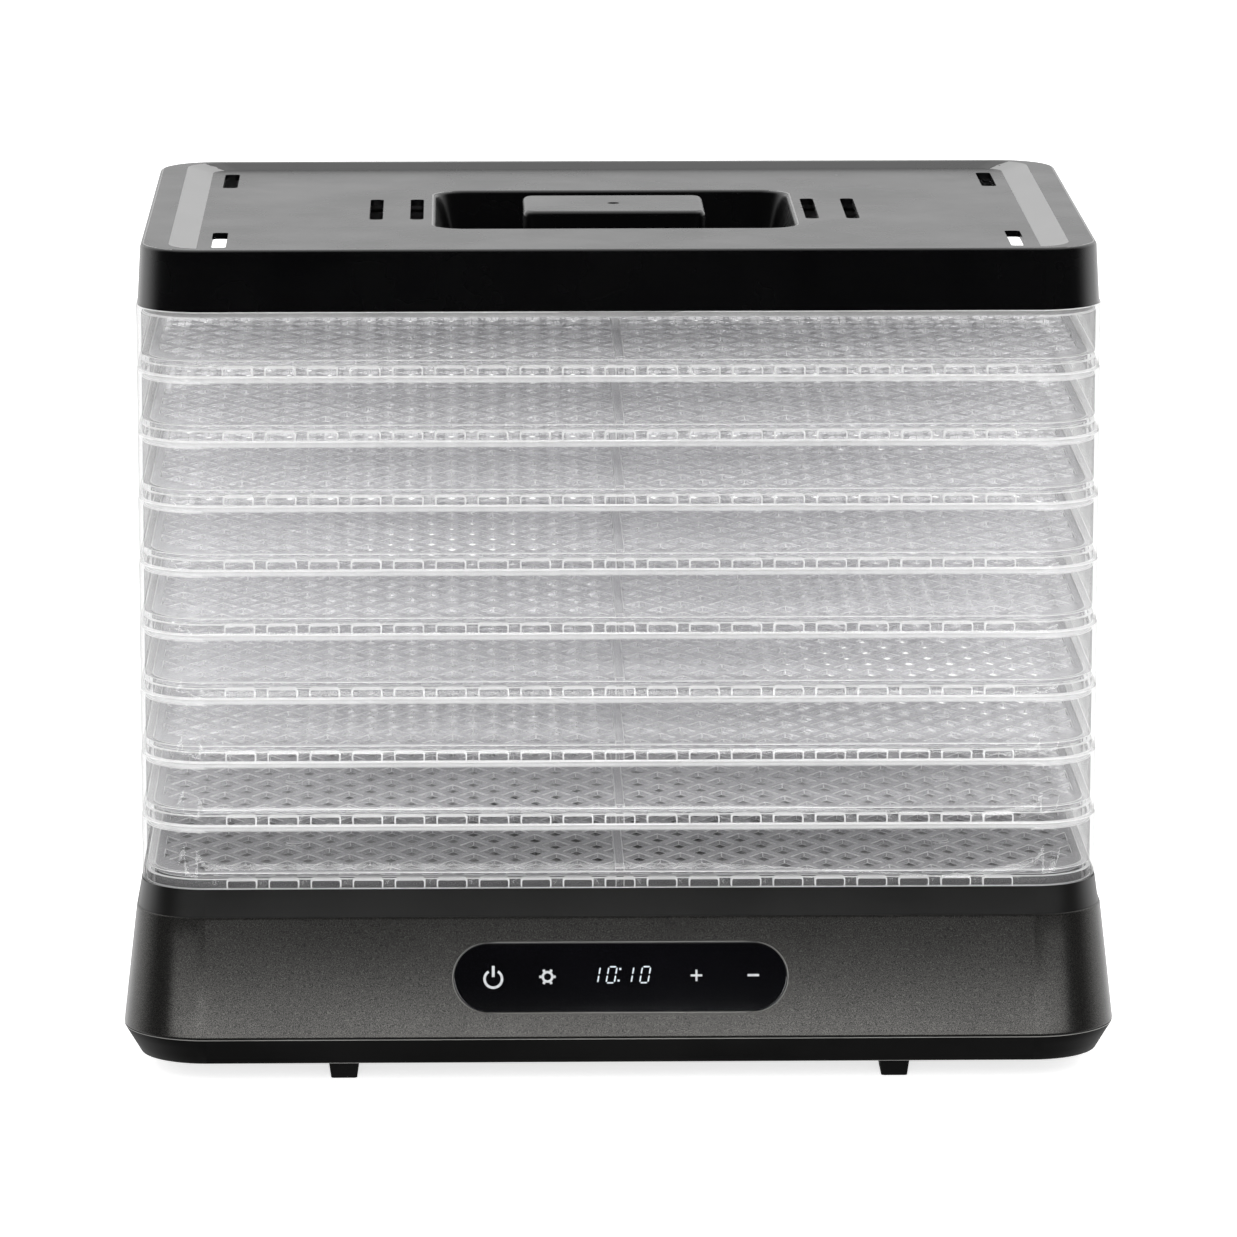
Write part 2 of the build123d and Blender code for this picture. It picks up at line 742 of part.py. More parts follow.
def motor_end_cap():
    """The motor's top plate, with the upper bearing's seat."""
    cap = disc(motor_radius, bracket_z - motor_wall, bracket_z)
    cap += disc(bearing_radius + bearing_seat_wall, bracket_z - bearing_length, bracket_z)
    cap -= disc(bearing_radius, bracket_z - bearing_length, bracket_z)
    return cap - [disc(screw_radius, bracket_z - motor_wall, bracket_z, s * motor_screw_x) for s in (-1, 1)]


def motor_bearings():
    """The two sleeve bearings."""
    low = motor_foot_z + motor_wall
    inner = shaft_radius + shaft_clearance
    return [
        tube(bearing_radius, inner, low, low + bearing_length),
        tube(bearing_radius, inner, bracket_z - bearing_length, bracket_z),
    ]


def stator_low():
    """The underside of the stator, which sits midway between the bearings' outer ends."""
    return motor_foot_z + (motor_height - stator_height) / 2


def motor_stator():
    """The laminated ring with its wound teeth."""
    low = stator_low()
    outer = motor_radius - motor_wall
    ring = tube(outer, stator_inner + 3, low, low + stator_height)
    tooth = block(stator_inner + 6 - rotor_radius() - rotor_gap, 6, low, low + stator_height)
    reach = (rotor_radius() + rotor_gap + stator_inner + 6) / 2
    ring += [Rot(0, 0, 360 / stator_teeth * i) * Pos(reach, 0, 0) * tooth for i in range(stator_teeth)]
    return ring - disc(rotor_radius() + rotor_gap, low, low + stator_height)


def rotor_radius():
    """The rotor's outer radius."""
    return stator_inner - 5


def motor_windings():
    """The copper coils round the stator's teeth."""
    low = stator_low()
    radius = (rotor_radius() + stator_inner + 5) / 2
    high = low + stator_height
    coil = block(4.2, 11, low - 1.4, high + 1.4, radius) - block(6, 6, low, high, radius)
    return [Rot(0, 0, 360 / stator_teeth * i) * coil for i in range(stator_teeth)]


def motor_rotor():
    """The rotor, hollowed at both ends to clear the bearing seats."""
    low = motor_foot_z + (motor_height - rotor_height) / 2
    high = low + rotor_height
    seat = bearing_radius + bearing_seat_wall + rotor_gap
    core_low = motor_foot_z + motor_wall + bearing_length + rotor_gap
    core_high = bracket_z - bearing_length - rotor_gap
    core = disc(rotor_radius(), low, high) - disc(seat, low, core_low) - disc(seat, core_high, high)
    return core - disc(shaft_radius, low, high)


def motor_shaft():
    """The steel shaft, from the lower bearing to the impeller's nut."""
    return disc(shaft_radius, motor_foot_z + motor_wall + shaft_clearance, fan_top_z + nut_height)


def fan_blade():
    """One twisted blade, drawn along +X."""
    middle = fan_foot_z + fan_hub_height / 2
    sections = []
    for radius, (chord, pitch) in ((fan_hub_radius - 2 * fan_hub_wall, blade_root), (fan_radius, blade_tip)):
        plane = Plane(origin=(radius, 0, middle), x_dir=(0, 1, 0), z_dir=(1, 0, 0))
        sections.append(plane * Rot(0, 0, pitch) * Rectangle(chord, blade_thickness))
    return loft(sections, ruled=True)


def fan_impeller():
    """The axial impeller: a cup-shaped hub with twisted blades."""
    hub = disc(fan_hub_radius, fan_foot_z, fan_top_z)
    blades = [Rot(0, 0, 360 / blade_count * i) * fan_blade() for i in range(blade_count)]
    fan = hub + blades
    fan -= disc(fan_hub_radius - fan_hub_wall, fan_foot_z, fan_top_z - fan_hub_wall)
    fan += disc(nut_radius, fan_foot_z, fan_top_z)
    return fan - disc(shaft_radius, fan_foot_z, fan_top_z)


def impeller_nut():
    """The hexagonal nut on top of the impeller."""
    nut = Pos(0, 0, fan_top_z) * extrude(RegularPolygon(nut_radius, 6), nut_height)
    return nut - disc(shaft_radius, fan_top_z, fan_top_z + nut_height)


# ---- heater ----
def coil_rings(wire):
    """The heating wire's rings round the fan's axis."""
    middle = heater_z + heater_height / 2
    return [Pos(0, 0, middle) * Torus(radius, wire) for radius in coil_radii]


def heater_frame():
    """Two crossed mica boards, pierced where the wire passes."""
    length = 2 * (duct_radius - mica_clearance)
    high = heater_z + heater_height
    cross = block(length, mica_thickness, heater_z, high) + block(mica_thickness, length, heater_z, high)
    return cross - coil_rings(coil_wire) - thermal_fuse()


def heater_coil():
    """The heating wire: rings joined by short links between the mica boards."""
    middle = heater_z + heater_height / 2
    rings = coil_rings(coil_wire)
    links = [
        Rot(0, 0, 45 + 90 * i) * Pos(a, 0, middle) * Rot(0, 90, 0) * Cylinder(
            coil_wire, b - a, align=(Align.CENTER, Align.CENTER, Align.MIN)
        )
        for i, (a, b) in enumerate(zip(coil_radii, coil_radii[1:]))
    ]
    return rings[0] + rings[1:] + links


def thermal_fuse():
    """The one-shot fuse, laid along the top of a mica board."""
    start = coil_radii[1] + coil_wire
    lying = Plane(
        origin=(start, 0, heater_z + heater_height + fuse_radius / 2), x_dir=(0, 1, 0), z_dir=(1, 0, 0)
    )
    return extrude(lying * Circle(fuse_radius), fuse_length)


def overheat_cutout():
    """The resettable bimetal cut-out on the duct's flange."""
    x = -(duct_radius + duct_wall + cutout_radius + 0.5)
    top = duct_flange_z() - duct_flange_thickness
    low = top - cutout_height
    return disc(cutout_radius, low, top, x, 0) + block(3, 10, low - 4, low, x)


def sensor_rod(radius):
    """The rod through the duct's wall that the temperature sensor fills."""
    z = heater_z - 5
    plane = Plane(origin=(0, duct_radius + duct_wall + 6, z), x_dir=(1, 0, 0), z_dir=(0, -1, 0))
    return extrude(plane * Circle(radius), sensor_length)


def temperature_sensor():
    """The probe that reads the air between the fan and the heater."""
    head_plane = Plane(
        origin=(0, duct_radius + duct_wall, heater_z - 5), x_dir=(1, 0, 0), z_dir=(0, 1, 0)
    )
    return sensor_rod(sensor_radius) + extrude(head_plane * Circle(sensor_radius * 1.6), 6)


# ---- electronics and wiring ----
def power_board_low():
    """The underside of the power board."""
    return cover_floor + standoff_height


def power_board_top():
    """The upper face of the power board."""
    return power_board_low() + board_thickness


def standoff_spots():
    """Where the power board is screwed to the cover."""
    half_x = power_board_size[0] / 2 - standoff_inset
    half_y = power_board_size[1] / 2 - standoff_inset
    x, y = power_board_centre
    return [(x + sx * half_x, y + sy * half_y) for sx in (-1, 1) for sy in (-1, 1)]


def on_board(size_x, size_y, height, x, y):
    """A component that stands on the power board, placed from the board's middle."""
    low = power_board_top()
    return block(size_x, size_y, low, low + height, power_board_centre[0] + x, power_board_centre[1] + y)


def power_board():
    """The main circuit board."""
    low, high = power_board_low(), power_board_top()
    board = block(*power_board_size, low, high, *power_board_centre)
    return board - [disc(screw_radius, low, high, x, y) for x, y in standoff_spots()]


def transformer():
    """The small mains transformer: a laminated core round a wound bobbin."""
    core = on_board(32, 28, 26, -14, 30)
    windows = [on_board(6, 28, 14, -14 + side * 8, 30).moved(Location((0, 0, 6))) for side in (-1, 1)]
    bobbin = [on_board(6, 40, 14, -14 + side * 8, 30).moved(Location((0, 0, 6))) for side in (-1, 1)]
    ends = [on_board(22, 6, 14, -14, 30 + side * 17).moved(Location((0, 0, 6))) for side in (-1, 1)]
    return core - windows + bobbin + ends


def relay():
    """The relay that switches the heater."""
    return fillet(on_board(16, 22, 18, 22, 28).edges().filter_by(Axis.Z), 1)


def board_capacitors():
    """The film capacitor and the two electrolytic cans."""
    top = power_board_top()
    x, y = power_board_centre
    film = fillet(on_board(12, 30, 16, -26, -12).edges().filter_by(Axis.Z), 1)
    return [film, disc(6, top, top + 20, x + 2, y - 8), disc(5, top, top + 14, x + 20, y - 6)]


def board_connectors():
    """The three sockets that the cables end in."""
    return [on_board(*connector_size, x, y) for x, y in connector_spots()]


def connector_spots():
    """The sockets' places on the power board: fan motor, mains and display."""
    return [(34.0, -15.0), (0.0, -46.0), (24.0, -46.0)]


def connector_face(index, side_x, side_y):
    """The middle of one side of a socket."""
    x, y = connector_spots()[index]
    return (
        power_board_centre[0] + x + side_x * connector_size[0] / 2,
        power_board_centre[1] + y + side_y * connector_size[1] / 2,
        power_board_top() + connector_size[2] / 2,
    )


def cable(points, radius):
    """A round cable along straight runs with rounded bends."""
    path = FilletPolyline(*points, radius=cable_bend) if len(points) > 2 else Line(*points)
    start = Plane(origin=path @ 0, z_dir=path % 0)
    return sweep(start * Circle(radius), path=path)


def lead_wires(radius):
    """The heater's two leads, from the outer ring of the coil down to the terminal block."""
    z = heater_z + heater_height / 2
    top = cover_floor + terminal_size[2]
    return [
        cable([(coil_radii[-1], y, z), (terminal_x, y, z), (terminal_x, y, top)], radius)
        for y in (-lead_gap / 2, lead_gap / 2)
    ]


def terminal_block():
    """The block where the heater's leads meet the cable from the power board."""
    body = block(*terminal_size[:2], cover_floor, cover_floor + terminal_size[2], terminal_x)
    return fillet(body.edges().group_by(Axis.Z)[-1], 1)


def wiring():
    """The heater's leads, the motor's cable and the cable from the terminal block."""
    leads = [wire - coil_rings(coil_wire) for wire in lead_wires(lead_radius)]
    motor_z = motor_foot_z + motor_height / 2
    socket = connector_face(0, 1, 0)
    motor = cable([(-motor_radius, socket[1], motor_z), (socket[0], socket[1], motor_z)], cable_radius)
    socket = connector_face(1, 0, -1)
    start = (terminal_x, -terminal_size[1] / 2, socket[2])
    front = -tray_depth / 2 + 36
    path = [start, (terminal_x, front, socket[2]), (socket[0], front, socket[2]), socket]
    mains = cable(path, cable_radius)
    return [*leads, motor, mains]


def display_cable():
    """The cable from the display board to the power board."""
    back = display_board_plane().offset(-board_thickness).origin
    socket = connector_face(2, 0, -1)
    start = (-50, back.Y + cable_radius * body_run / body_height, back.Z)
    path = [start, (start[0], start[1] + 14, start[2]), (socket[0], -60, socket[2]), socket]
    return cable(path, cable_radius)


def board_screws():
    """The screws that hold the display board and the power board."""
    plane = display_board_plane()
    screws = []
    for side in (-1, 1):
        spot = plane * Pos(side * display_screw_x, 0, -board_thickness)
        shank = extrude(spot * Circle(screw_radius), board_thickness + 4)
        screws.append(shank + extrude(spot * Circle(screw_head_radius), -screw_head_height))
    top = power_board_top()
    return screws + [screw(top, cover_floor + 1, x, y) for x, y in standoff_spots()]


def fan_screws():
    """The screws that hold the duct to the deck, the bracket to the duct and the motor to the bracket."""
    low = duct_flange_z() - duct_flange_thickness
    screws = [screw(low, deck_underside, x, y) for x, y in duct_screw_spots()]
    screws += [screw(bracket_z, duct_foot_z + lug_height, s * lug_x(), 0) for s in (-1, 1)]
    return screws + [screw(duct_foot_z, bracket_z - motor_wall, s * motor_screw_x, 0) for s in (-1, 1)]


def base_screws():
    """The screws that hold the cover to the deck, sunk in the cover's bosses."""
    seat = foot_height + 2 * screw_head_height
    return [screw(seat, base_boss_split + screw_bite - 1, x, y) for x, y in base_screw_spots]


# ---- write every sub-part ----
bottom_frame = tray_frame(stack_foot)
bottom_floor = tray_floor(mesh_face(), stack_foot)
for index in range(tray_count):
    place = Location((0, 0, index * tray_height))
    make(f"tray_{index + 1}_frame", bottom_frame.moved(place))
    make(f"tray_{index + 1}_floor", bottom_floor.moved(place))
make("lid_shell", lid_shell())
make("lid_handle", lid_handle())
make("lid_handle_screws", *lid_handle_screws())
make("base_deck", base_deck())
make("base_housing", base_housing())
make("base_cover", base_cover())
make("base_screws", *base_screws())
make("feet", *[foot(x, y) for x, y in foot_spots()])
make("cord_gland", cord_gland())
make("control_panel", control_panel())
make("display_board", display_board())
make("display_module", display_module())
make("touch_springs", *touch_springs())
make("display_cable", display_cable())
make("board_screws", *board_screws())
make("air_duct", air_duct())
make("outlet_grille", outlet_grille())
make("grille_screws", *grille_screws())
make("fan_screws", *fan_screws())
make("motor_bracket", motor_bracket())
make("motor_housing", motor_housing())
make("motor_end_cap", motor_end_cap())
make("motor_bearings", *motor_bearings())
make("motor_stator", motor_stator())
make("motor_windings", *motor_windings())
make("motor_rotor", motor_rotor())
make("motor_shaft", motor_shaft())
make("fan_impeller", fan_impeller())
make("impeller_nut", impeller_nut())
make("heater_frame", heater_frame())
make("heater_coil", heater_coil())
make("thermal_fuse", thermal_fuse())
make("overheat_cutout", overheat_cutout())
make("temperature_sensor", temperature_sensor())
make("terminal_block", terminal_block())
make("power_board", power_board())
make("transformer", transformer())
make("relay", relay())
make("board_capacitors", *board_capacitors())
make("board_connectors", *board_connectors())
make("wiring", *wiring())
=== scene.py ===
import json
import math

import bmesh
import bpy
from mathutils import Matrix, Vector


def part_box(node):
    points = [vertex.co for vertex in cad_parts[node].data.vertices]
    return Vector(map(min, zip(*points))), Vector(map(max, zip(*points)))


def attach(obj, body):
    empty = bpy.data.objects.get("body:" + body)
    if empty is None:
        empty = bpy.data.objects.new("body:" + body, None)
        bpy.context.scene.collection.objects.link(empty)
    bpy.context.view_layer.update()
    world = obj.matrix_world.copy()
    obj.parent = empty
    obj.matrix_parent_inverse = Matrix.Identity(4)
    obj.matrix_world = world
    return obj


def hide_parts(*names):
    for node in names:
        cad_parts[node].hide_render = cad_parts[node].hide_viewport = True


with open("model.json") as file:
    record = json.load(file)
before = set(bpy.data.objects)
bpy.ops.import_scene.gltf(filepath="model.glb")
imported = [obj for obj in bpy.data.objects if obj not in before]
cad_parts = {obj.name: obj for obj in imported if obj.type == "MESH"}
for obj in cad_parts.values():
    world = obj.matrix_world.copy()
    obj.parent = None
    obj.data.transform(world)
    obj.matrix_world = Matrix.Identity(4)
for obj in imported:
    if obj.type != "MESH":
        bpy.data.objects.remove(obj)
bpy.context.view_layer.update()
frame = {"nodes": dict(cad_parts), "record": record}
scene = bpy.context.scene
nodes = frame["nodes"]
MM = 0.001

# The object: nine clear trays under a black lid, on a charcoal base with a touch panel.
# Materials first, then the trays, then the lit digits and the printed symbols with a painted glow, then the
# studio and the camera.
SHARP = math.radians(35)  # edges at least this sharp are rounded on the base
TRAY_SHARP = math.radians(30)  # the same for the trays
FLAT = math.radians(0.8)  # faces that meet at less than this are merged
SHARED = 1e-6  # vertices closer than this are one
BASE_EDGE = 0.4 * MM
FRAME_EDGE = 0.3 * MM
FLOOR_EDGE = 0.25 * MM


# ---------------------------------------------------------------- materials
def new_material(name):
    """An empty material, its node tree and its output."""
    mat = bpy.data.materials.new(name)
    mat.use_nodes = True
    tree = mat.node_tree
    tree.nodes.clear()
    out = tree.nodes.new("ShaderNodeOutputMaterial")
    return mat, tree, out


def noise(tree, scale, detail=4.0, rough=0.55, stretch=None):
    """A noise texture in object space, scale in features per metre."""
    where = tree.nodes.new("ShaderNodeTexCoord")
    tex = tree.nodes.new("ShaderNodeTexNoise")
    tex.inputs["Scale"].default_value = scale
    tex.inputs["Detail"].default_value = detail
    tex.inputs["Roughness"].default_value = rough
    source = where.outputs["Object"]
    if stretch:
        mapping = tree.nodes.new("ShaderNodeMapping")
        mapping.inputs["Scale"].default_value = stretch
        tree.links.new(source, mapping.inputs["Vector"])
        source = mapping.outputs["Vector"]
    tree.links.new(source, tex.inputs["Vector"])
    return tex


def ranged(tree, source, low, high, from_low=0.3, from_high=0.7):
    """A value spread over low to high."""
    node = tree.nodes.new("ShaderNodeMapRange")
    node.inputs["From Min"].default_value = from_low
    node.inputs["From Max"].default_value = from_high
    node.inputs["To Min"].default_value = low
    node.inputs["To Max"].default_value = high
    tree.links.new(source, node.inputs["Value"])
    return node.outputs["Result"]


def bump(tree, source, strength, distance):
    """A normal that follows a height texture."""
    node = tree.nodes.new("ShaderNodeBump")
    node.inputs["Strength"].default_value = strength
    node.inputs["Distance"].default_value = distance
    tree.links.new(source, node.inputs["Height"])
    return node.outputs["Normal"]


def tinted(tree, source, dark, light, from_low=0.35, from_high=0.65):
    """A value turned into a colour between dark and light."""
    ramp = tree.nodes.new("ShaderNodeValToRGB")
    ramp.color_ramp.elements[0].position = from_low
    ramp.color_ramp.elements[0].color = (*dark, 1)
    ramp.color_ramp.elements[1].position = from_high
    ramp.color_ramp.elements[1].color = (*light, 1)
    tree.links.new(source, ramp.inputs["Fac"])
    return ramp.outputs["Color"]


def moulded(
    name, dark, light, rough=(0.35, 0.45), grain=2600.0, depth=0.00003, strength=0.25, **sockets
):
    """Moulded plastic or rubber: a fine spark-eroded grain and slight blotches of colour and gloss."""
    mat, tree, out = new_material(name)
    shader = tree.nodes.new("ShaderNodeBsdfPrincipled")
    for key, value in sockets.items():
        shader.inputs[key.replace("_", " ")].default_value = value
    blotch = noise(tree, 24.0, 3.0)
    tree.links.new(tinted(tree, blotch.outputs["Fac"], dark, light), shader.inputs["Base Color"])
    tree.links.new(ranged(tree, blotch.outputs["Fac"], *rough), shader.inputs["Roughness"])
    fine = noise(tree, grain, 2.0)
    tree.links.new(bump(tree, fine.outputs["Fac"], strength, depth), shader.inputs["Normal"])
    tree.links.new(shader.outputs["BSDF"], out.inputs["Surface"])
    return mat


def flecked(name, dark, light, rough):
    """Charcoal plastic with a fine metallic fleck."""
    mat, tree, out = new_material(name)
    shader = tree.nodes.new("ShaderNodeBsdfPrincipled")
    fleck = noise(tree, 3200.0, 2.0, 0.6)
    tree.links.new(tinted(tree, fleck.outputs["Fac"], dark, light, 0.42, 0.7), shader.inputs["Base Color"])
    tree.links.new(ranged(tree, fleck.outputs["Fac"], 0.8, 0.96, 0.45, 0.7), shader.inputs["Metallic"])
    tree.links.new(ranged(tree, noise(tree, 30.0).outputs["Fac"], *rough), shader.inputs["Roughness"])
    tree.links.new(bump(tree, fleck.outputs["Fac"], 0.3, 0.00002), shader.inputs["Normal"])
    tree.links.new(shader.outputs["BSDF"], out.inputs["Surface"])
    return mat


def metal(name, dark, light, rough, stretch=(1, 1, 12)):
    """Bare metal with fine drawn or rolled lines, or a mottle where the stretch is even."""
    mat, tree, out = new_material(name)
    shader = tree.nodes.new("ShaderNodeBsdfPrincipled")
    shader.inputs["Metallic"].default_value = 1.0
    lines = noise(tree, 400.0, 3.0, 0.6, stretch)
    tree.links.new(tinted(tree, lines.outputs["Fac"], dark, light), shader.inputs["Base Color"])
    tree.links.new(ranged(tree, lines.outputs["Fac"], *rough), shader.inputs["Roughness"])
    tree.links.new(bump(tree, lines.outputs["Fac"], 0.2, 0.00003), shader.inputs["Normal"])
    tree.links.new(shader.outputs["BSDF"], out.inputs["Surface"])
    return mat


def clear_plastic(name, tint, haze, haze_colour, rough, shine):
    """Clear plastic: what is behind shows through, with a little milky haze and a gloss on its outer side."""
    mat, tree, out = new_material(name)
    clear = tree.nodes.new("ShaderNodeBsdfTransparent")
    slant = tree.nodes.new("ShaderNodeLayerWeight")
    slant.inputs["Blend"].default_value = 0.5
    grazing = tuple(c * 0.62 for c in tint)
    tree.links.new(tinted(tree, slant.outputs["Facing"], tint, grazing, 0.7, 1.0), clear.inputs["Color"])
    diffuse = tree.nodes.new("ShaderNodeBsdfDiffuse")
    diffuse.inputs["Color"].default_value = (*haze_colour, 1)
    through = tree.nodes.new("ShaderNodeBsdfTranslucent")
    through.inputs["Color"].default_value = (*haze_colour, 1)
    milk = tree.nodes.new("ShaderNodeMixShader")
    milk.inputs["Fac"].default_value = 0.5
    tree.links.new(diffuse.outputs["BSDF"], milk.inputs[1])
    tree.links.new(through.outputs["BSDF"], milk.inputs[2])
    body = tree.nodes.new("ShaderNodeMixShader")
    flow = noise(tree, 14.0, 3.0, 0.5, (1, 1, 4))
    tree.links.new(ranged(tree, flow.outputs["Fac"], haze * 0.8, haze * 1.2), body.inputs["Fac"])
    tree.links.new(clear.outputs["BSDF"], body.inputs[1])
    tree.links.new(milk.outputs["Shader"], body.inputs[2])
    gloss = tree.nodes.new("ShaderNodeBsdfGlossy")
    gloss.inputs["Roughness"].default_value = rough
    wave = noise(tree, 60.0, 2.0)
    tree.links.new(bump(tree, wave.outputs["Fac"], 0.12, 0.0004), gloss.inputs["Normal"])
    fresnel = tree.nodes.new("ShaderNodeFresnel")
    fresnel.inputs["IOR"].default_value = 1.45
    side = tree.nodes.new("ShaderNodeNewGeometry")
    outer = tree.nodes.new("ShaderNodeMath")
    outer.operation = "MULTIPLY_ADD"
    outer.inputs[1].default_value = -shine
    outer.inputs[2].default_value = shine
    tree.links.new(side.outputs["Backfacing"], outer.inputs[0])
    share = tree.nodes.new("ShaderNodeMath")
    share.operation = "MULTIPLY"
    tree.links.new(fresnel.outputs["Fac"], share.inputs[0])
    tree.links.new(outer.outputs["Value"], share.inputs[1])
    top = tree.nodes.new("ShaderNodeMixShader")
    tree.links.new(share.outputs["Value"], top.inputs["Fac"])
    tree.links.new(body.outputs["Shader"], top.inputs[1])
    tree.links.new(gloss.outputs["BSDF"], top.inputs[2])
    tree.links.new(top.outputs["Shader"], out.inputs["Surface"])
    return mat


def glowing(name, colour, strength):
    """A lit mark, or a printed mark given a painted glow, a little uneven."""
    mat, tree, out = new_material(name)
    shader = tree.nodes.new("ShaderNodeEmission")
    shader.inputs["Strength"].default_value = strength
    spread = noise(tree, 700.0, 1.0)
    low = tuple(c * 0.85 for c in colour)
    tree.links.new(tinted(tree, spread.outputs["Fac"], low, colour), shader.inputs["Color"])
    tree.links.new(shader.outputs["Emission"], out.inputs["Surface"])
    return mat


lid_black = moulded(
    "lid_black", (0.0008, 0.0008, 0.001), (0.0014, 0.0014, 0.0016), (0.24, 0.29), strength=0.08,
)
# A mid grey for the lid's left and right top slopes: a painted sheen standing in for their glossy reflection.
lid_painted_sheen = moulded("lid_painted_sheen", (0.29, 0.29, 0.29), (0.33, 0.33, 0.33), (0.3, 0.35), strength=0.08)
# A light grey for the rounded edges of the base housing and cover: a painted highlight line along those
# edges.
base_edge_painted_highlight = moulded("base_edge_painted_highlight", (0.13, 0.13, 0.125), (0.18, 0.18, 0.172), (0.3, 0.4), strength=0.1)
neck_black = moulded(
    "neck_black", (0.0015, 0.0014, 0.0013), (0.0025, 0.0024, 0.0022), (0.34, 0.4), strength=0.12,
)
pan_black = moulded(
    "pan_black", (0.002, 0.002, 0.002), (0.003, 0.003, 0.003), (0.5, 0.6), Specular_IOR_Level=0.1,
)
rubber = moulded(
    "rubber", (0.002, 0.002, 0.002), (0.004, 0.004, 0.004), (0.7, 0.85), Specular_IOR_Level=0.1,
)
charcoal = flecked("charcoal", (0.016, 0.0158, 0.0152), (0.1, 0.0976, 0.0928), (0.27, 0.31))
panel_gloss = moulded(
    "panel_gloss", (0.0008, 0.0008, 0.0012), (0.0012, 0.0012, 0.0018), (0.05, 0.07), 400.0, 0.00001, 0.05,
    Coat_Weight=1.0, Coat_Roughness=0.02,
)
grey_plastic = moulded("grey_plastic", (0.14, 0.15, 0.16), (0.19, 0.2, 0.21), (0.4, 0.5))
white_plastic = moulded("white_plastic", (0.62, 0.6, 0.56), (0.72, 0.7, 0.66), (0.4, 0.5))
board_green = moulded("board_green", (0.015, 0.11, 0.04), (0.03, 0.17, 0.07), (0.3, 0.4), 900.0)
sleeve = moulded("sleeve", (0.02, 0.02, 0.02), (0.03, 0.03, 0.03), (0.5, 0.6))
mica = moulded("mica", (0.42, 0.36, 0.25), (0.6, 0.54, 0.42), (0.5, 0.7), 500.0, 0.0001)
steel = metal("steel", (0.5, 0.5, 0.51), (0.68, 0.68, 0.69), (0.22, 0.32))
galvanised = metal("galvanised", (0.42, 0.44, 0.46), (0.62, 0.64, 0.66), (0.35, 0.5), (1, 1, 1))
lamination = metal("lamination", (0.1, 0.1, 0.11), (0.26, 0.26, 0.27), (0.45, 0.6), (0.1, 0.1, 30))
hot_wire = metal("hot_wire", (0.22, 0.19, 0.16), (0.4, 0.36, 0.32), (0.4, 0.55), (1, 1, 1))
bronze = metal("bronze", (0.42, 0.26, 0.12), (0.55, 0.36, 0.18), (0.35, 0.5), (1, 1, 1))
copper = metal("copper", (0.5, 0.18, 0.07), (0.68, 0.3, 0.14), (0.25, 0.35), (1, 1, 8))
glow = glowing("glow", (0.86, 0.94, 1.0), 1.0)
# The printed symbols are given emission: a painted glow on print that has no lamp.
printed_painted_glow = glowing("printed_painted_glow", (0.78, 0.8, 0.82), 0.95)
wall_clear = clear_plastic("wall_clear", (0.968, 0.968, 0.968), 0.03, (0.97, 0.97, 0.975), 0.06, 0.7)
rim_clear = clear_plastic("rim_clear", (0.985, 0.985, 0.985), 0.5, (0.92, 0.92, 0.92), 0.1, 0.7)
# Near-white milky plastic for the trays' rounded edges and window cuts: a painted highlight standing in for
# the bright outlines at their edges.
edge_clear_painted_highlight = clear_plastic("edge_clear_painted_highlight", (0.99, 0.99, 0.99), 0.9, (0.97, 0.97, 0.97), 0.12, 0.5)
floor_top = clear_plastic("floor_top", (0.96, 0.96, 0.965), 0.42, (0.88, 0.878, 0.886), 0.12, 0.3)
floor_side = clear_plastic("floor_side", (0.965, 0.964, 0.97), 0.22, (0.93, 0.925, 0.945), 0.12, 0.3)
# Near-white milky plastic for the rounded edges of the floors' holes: a painted highlight.
rib_edge_painted_highlight = clear_plastic("rib_edge_painted_highlight", (0.985, 0.985, 0.985), 0.92, (0.94, 0.94, 0.942), 0.15, 0.4)

SLOT_MATERIAL = {
    "lid_plastic": lid_black,
    "black_plastic": pan_black,
    "charcoal_plastic": charcoal,
    "black_gloss": panel_gloss,
    "display_glow": glow,
    "rubber": rubber,
    "steel": steel,
    "galvanised_sheet": galvanised,
    "lamination_steel": lamination,
    "heating_wire": hot_wire,
    "bronze": bronze,
    "copper": copper,
    "mica": mica,
    "circuit_board": board_green,
    "grey_plastic": grey_plastic,
    "white_plastic": white_plastic,
    "cable_sleeve": sleeve,
    "clear_plastic": wall_clear,
}
slot_of = {part["node"]: part["material_slot"] for part in frame["record"]["subparts"]}


def dress(obj, *mats):
    """Gives an object these materials in place of its own."""
    obj.data.materials.clear()
    for mat in mats:
        obj.data.materials.append(mat)


def soften(obj, width, edge_slot):
    """Rounds an object's sharp edges, after joining the vertices that its faces share."""
    obj.modifiers.new("joined", "WELD").merge_threshold = SHARED
    mod = obj.modifiers.new("soft_edges", "BEVEL")
    mod.use_clamp_overlap = False
    mod.width = width
    mod.segments = 2
    mod.limit_method = "ANGLE"
    mod.angle_limit = SHARP
    mod.harden_normals = False
    mod.material = edge_slot
    return mod


for name, obj in nodes.items():
    dress(obj, SLOT_MATERIAL[slot_of[name]])
dress(nodes["base_deck"], neck_black)
dress(nodes["lid_shell"], lid_black, lid_painted_sheen)
dress(nodes["base_housing"], charcoal, base_edge_painted_highlight)
dress(nodes["base_cover"], pan_black, base_edge_painted_highlight)
# Faces on the lid's top that tilt sideways take the grey second material: a painted sheen.
for face in nodes["lid_shell"].data.polygons:
    face.material_index = int(abs(face.normal.x) > 0.15 and face.normal.z > 0.93)
# The rounded edges of the housing and the cover take the light grey second material: a painted highlight
# line.
for name in ("base_housing", "base_cover"):
    soften(nodes[name], BASE_EDGE, 1)


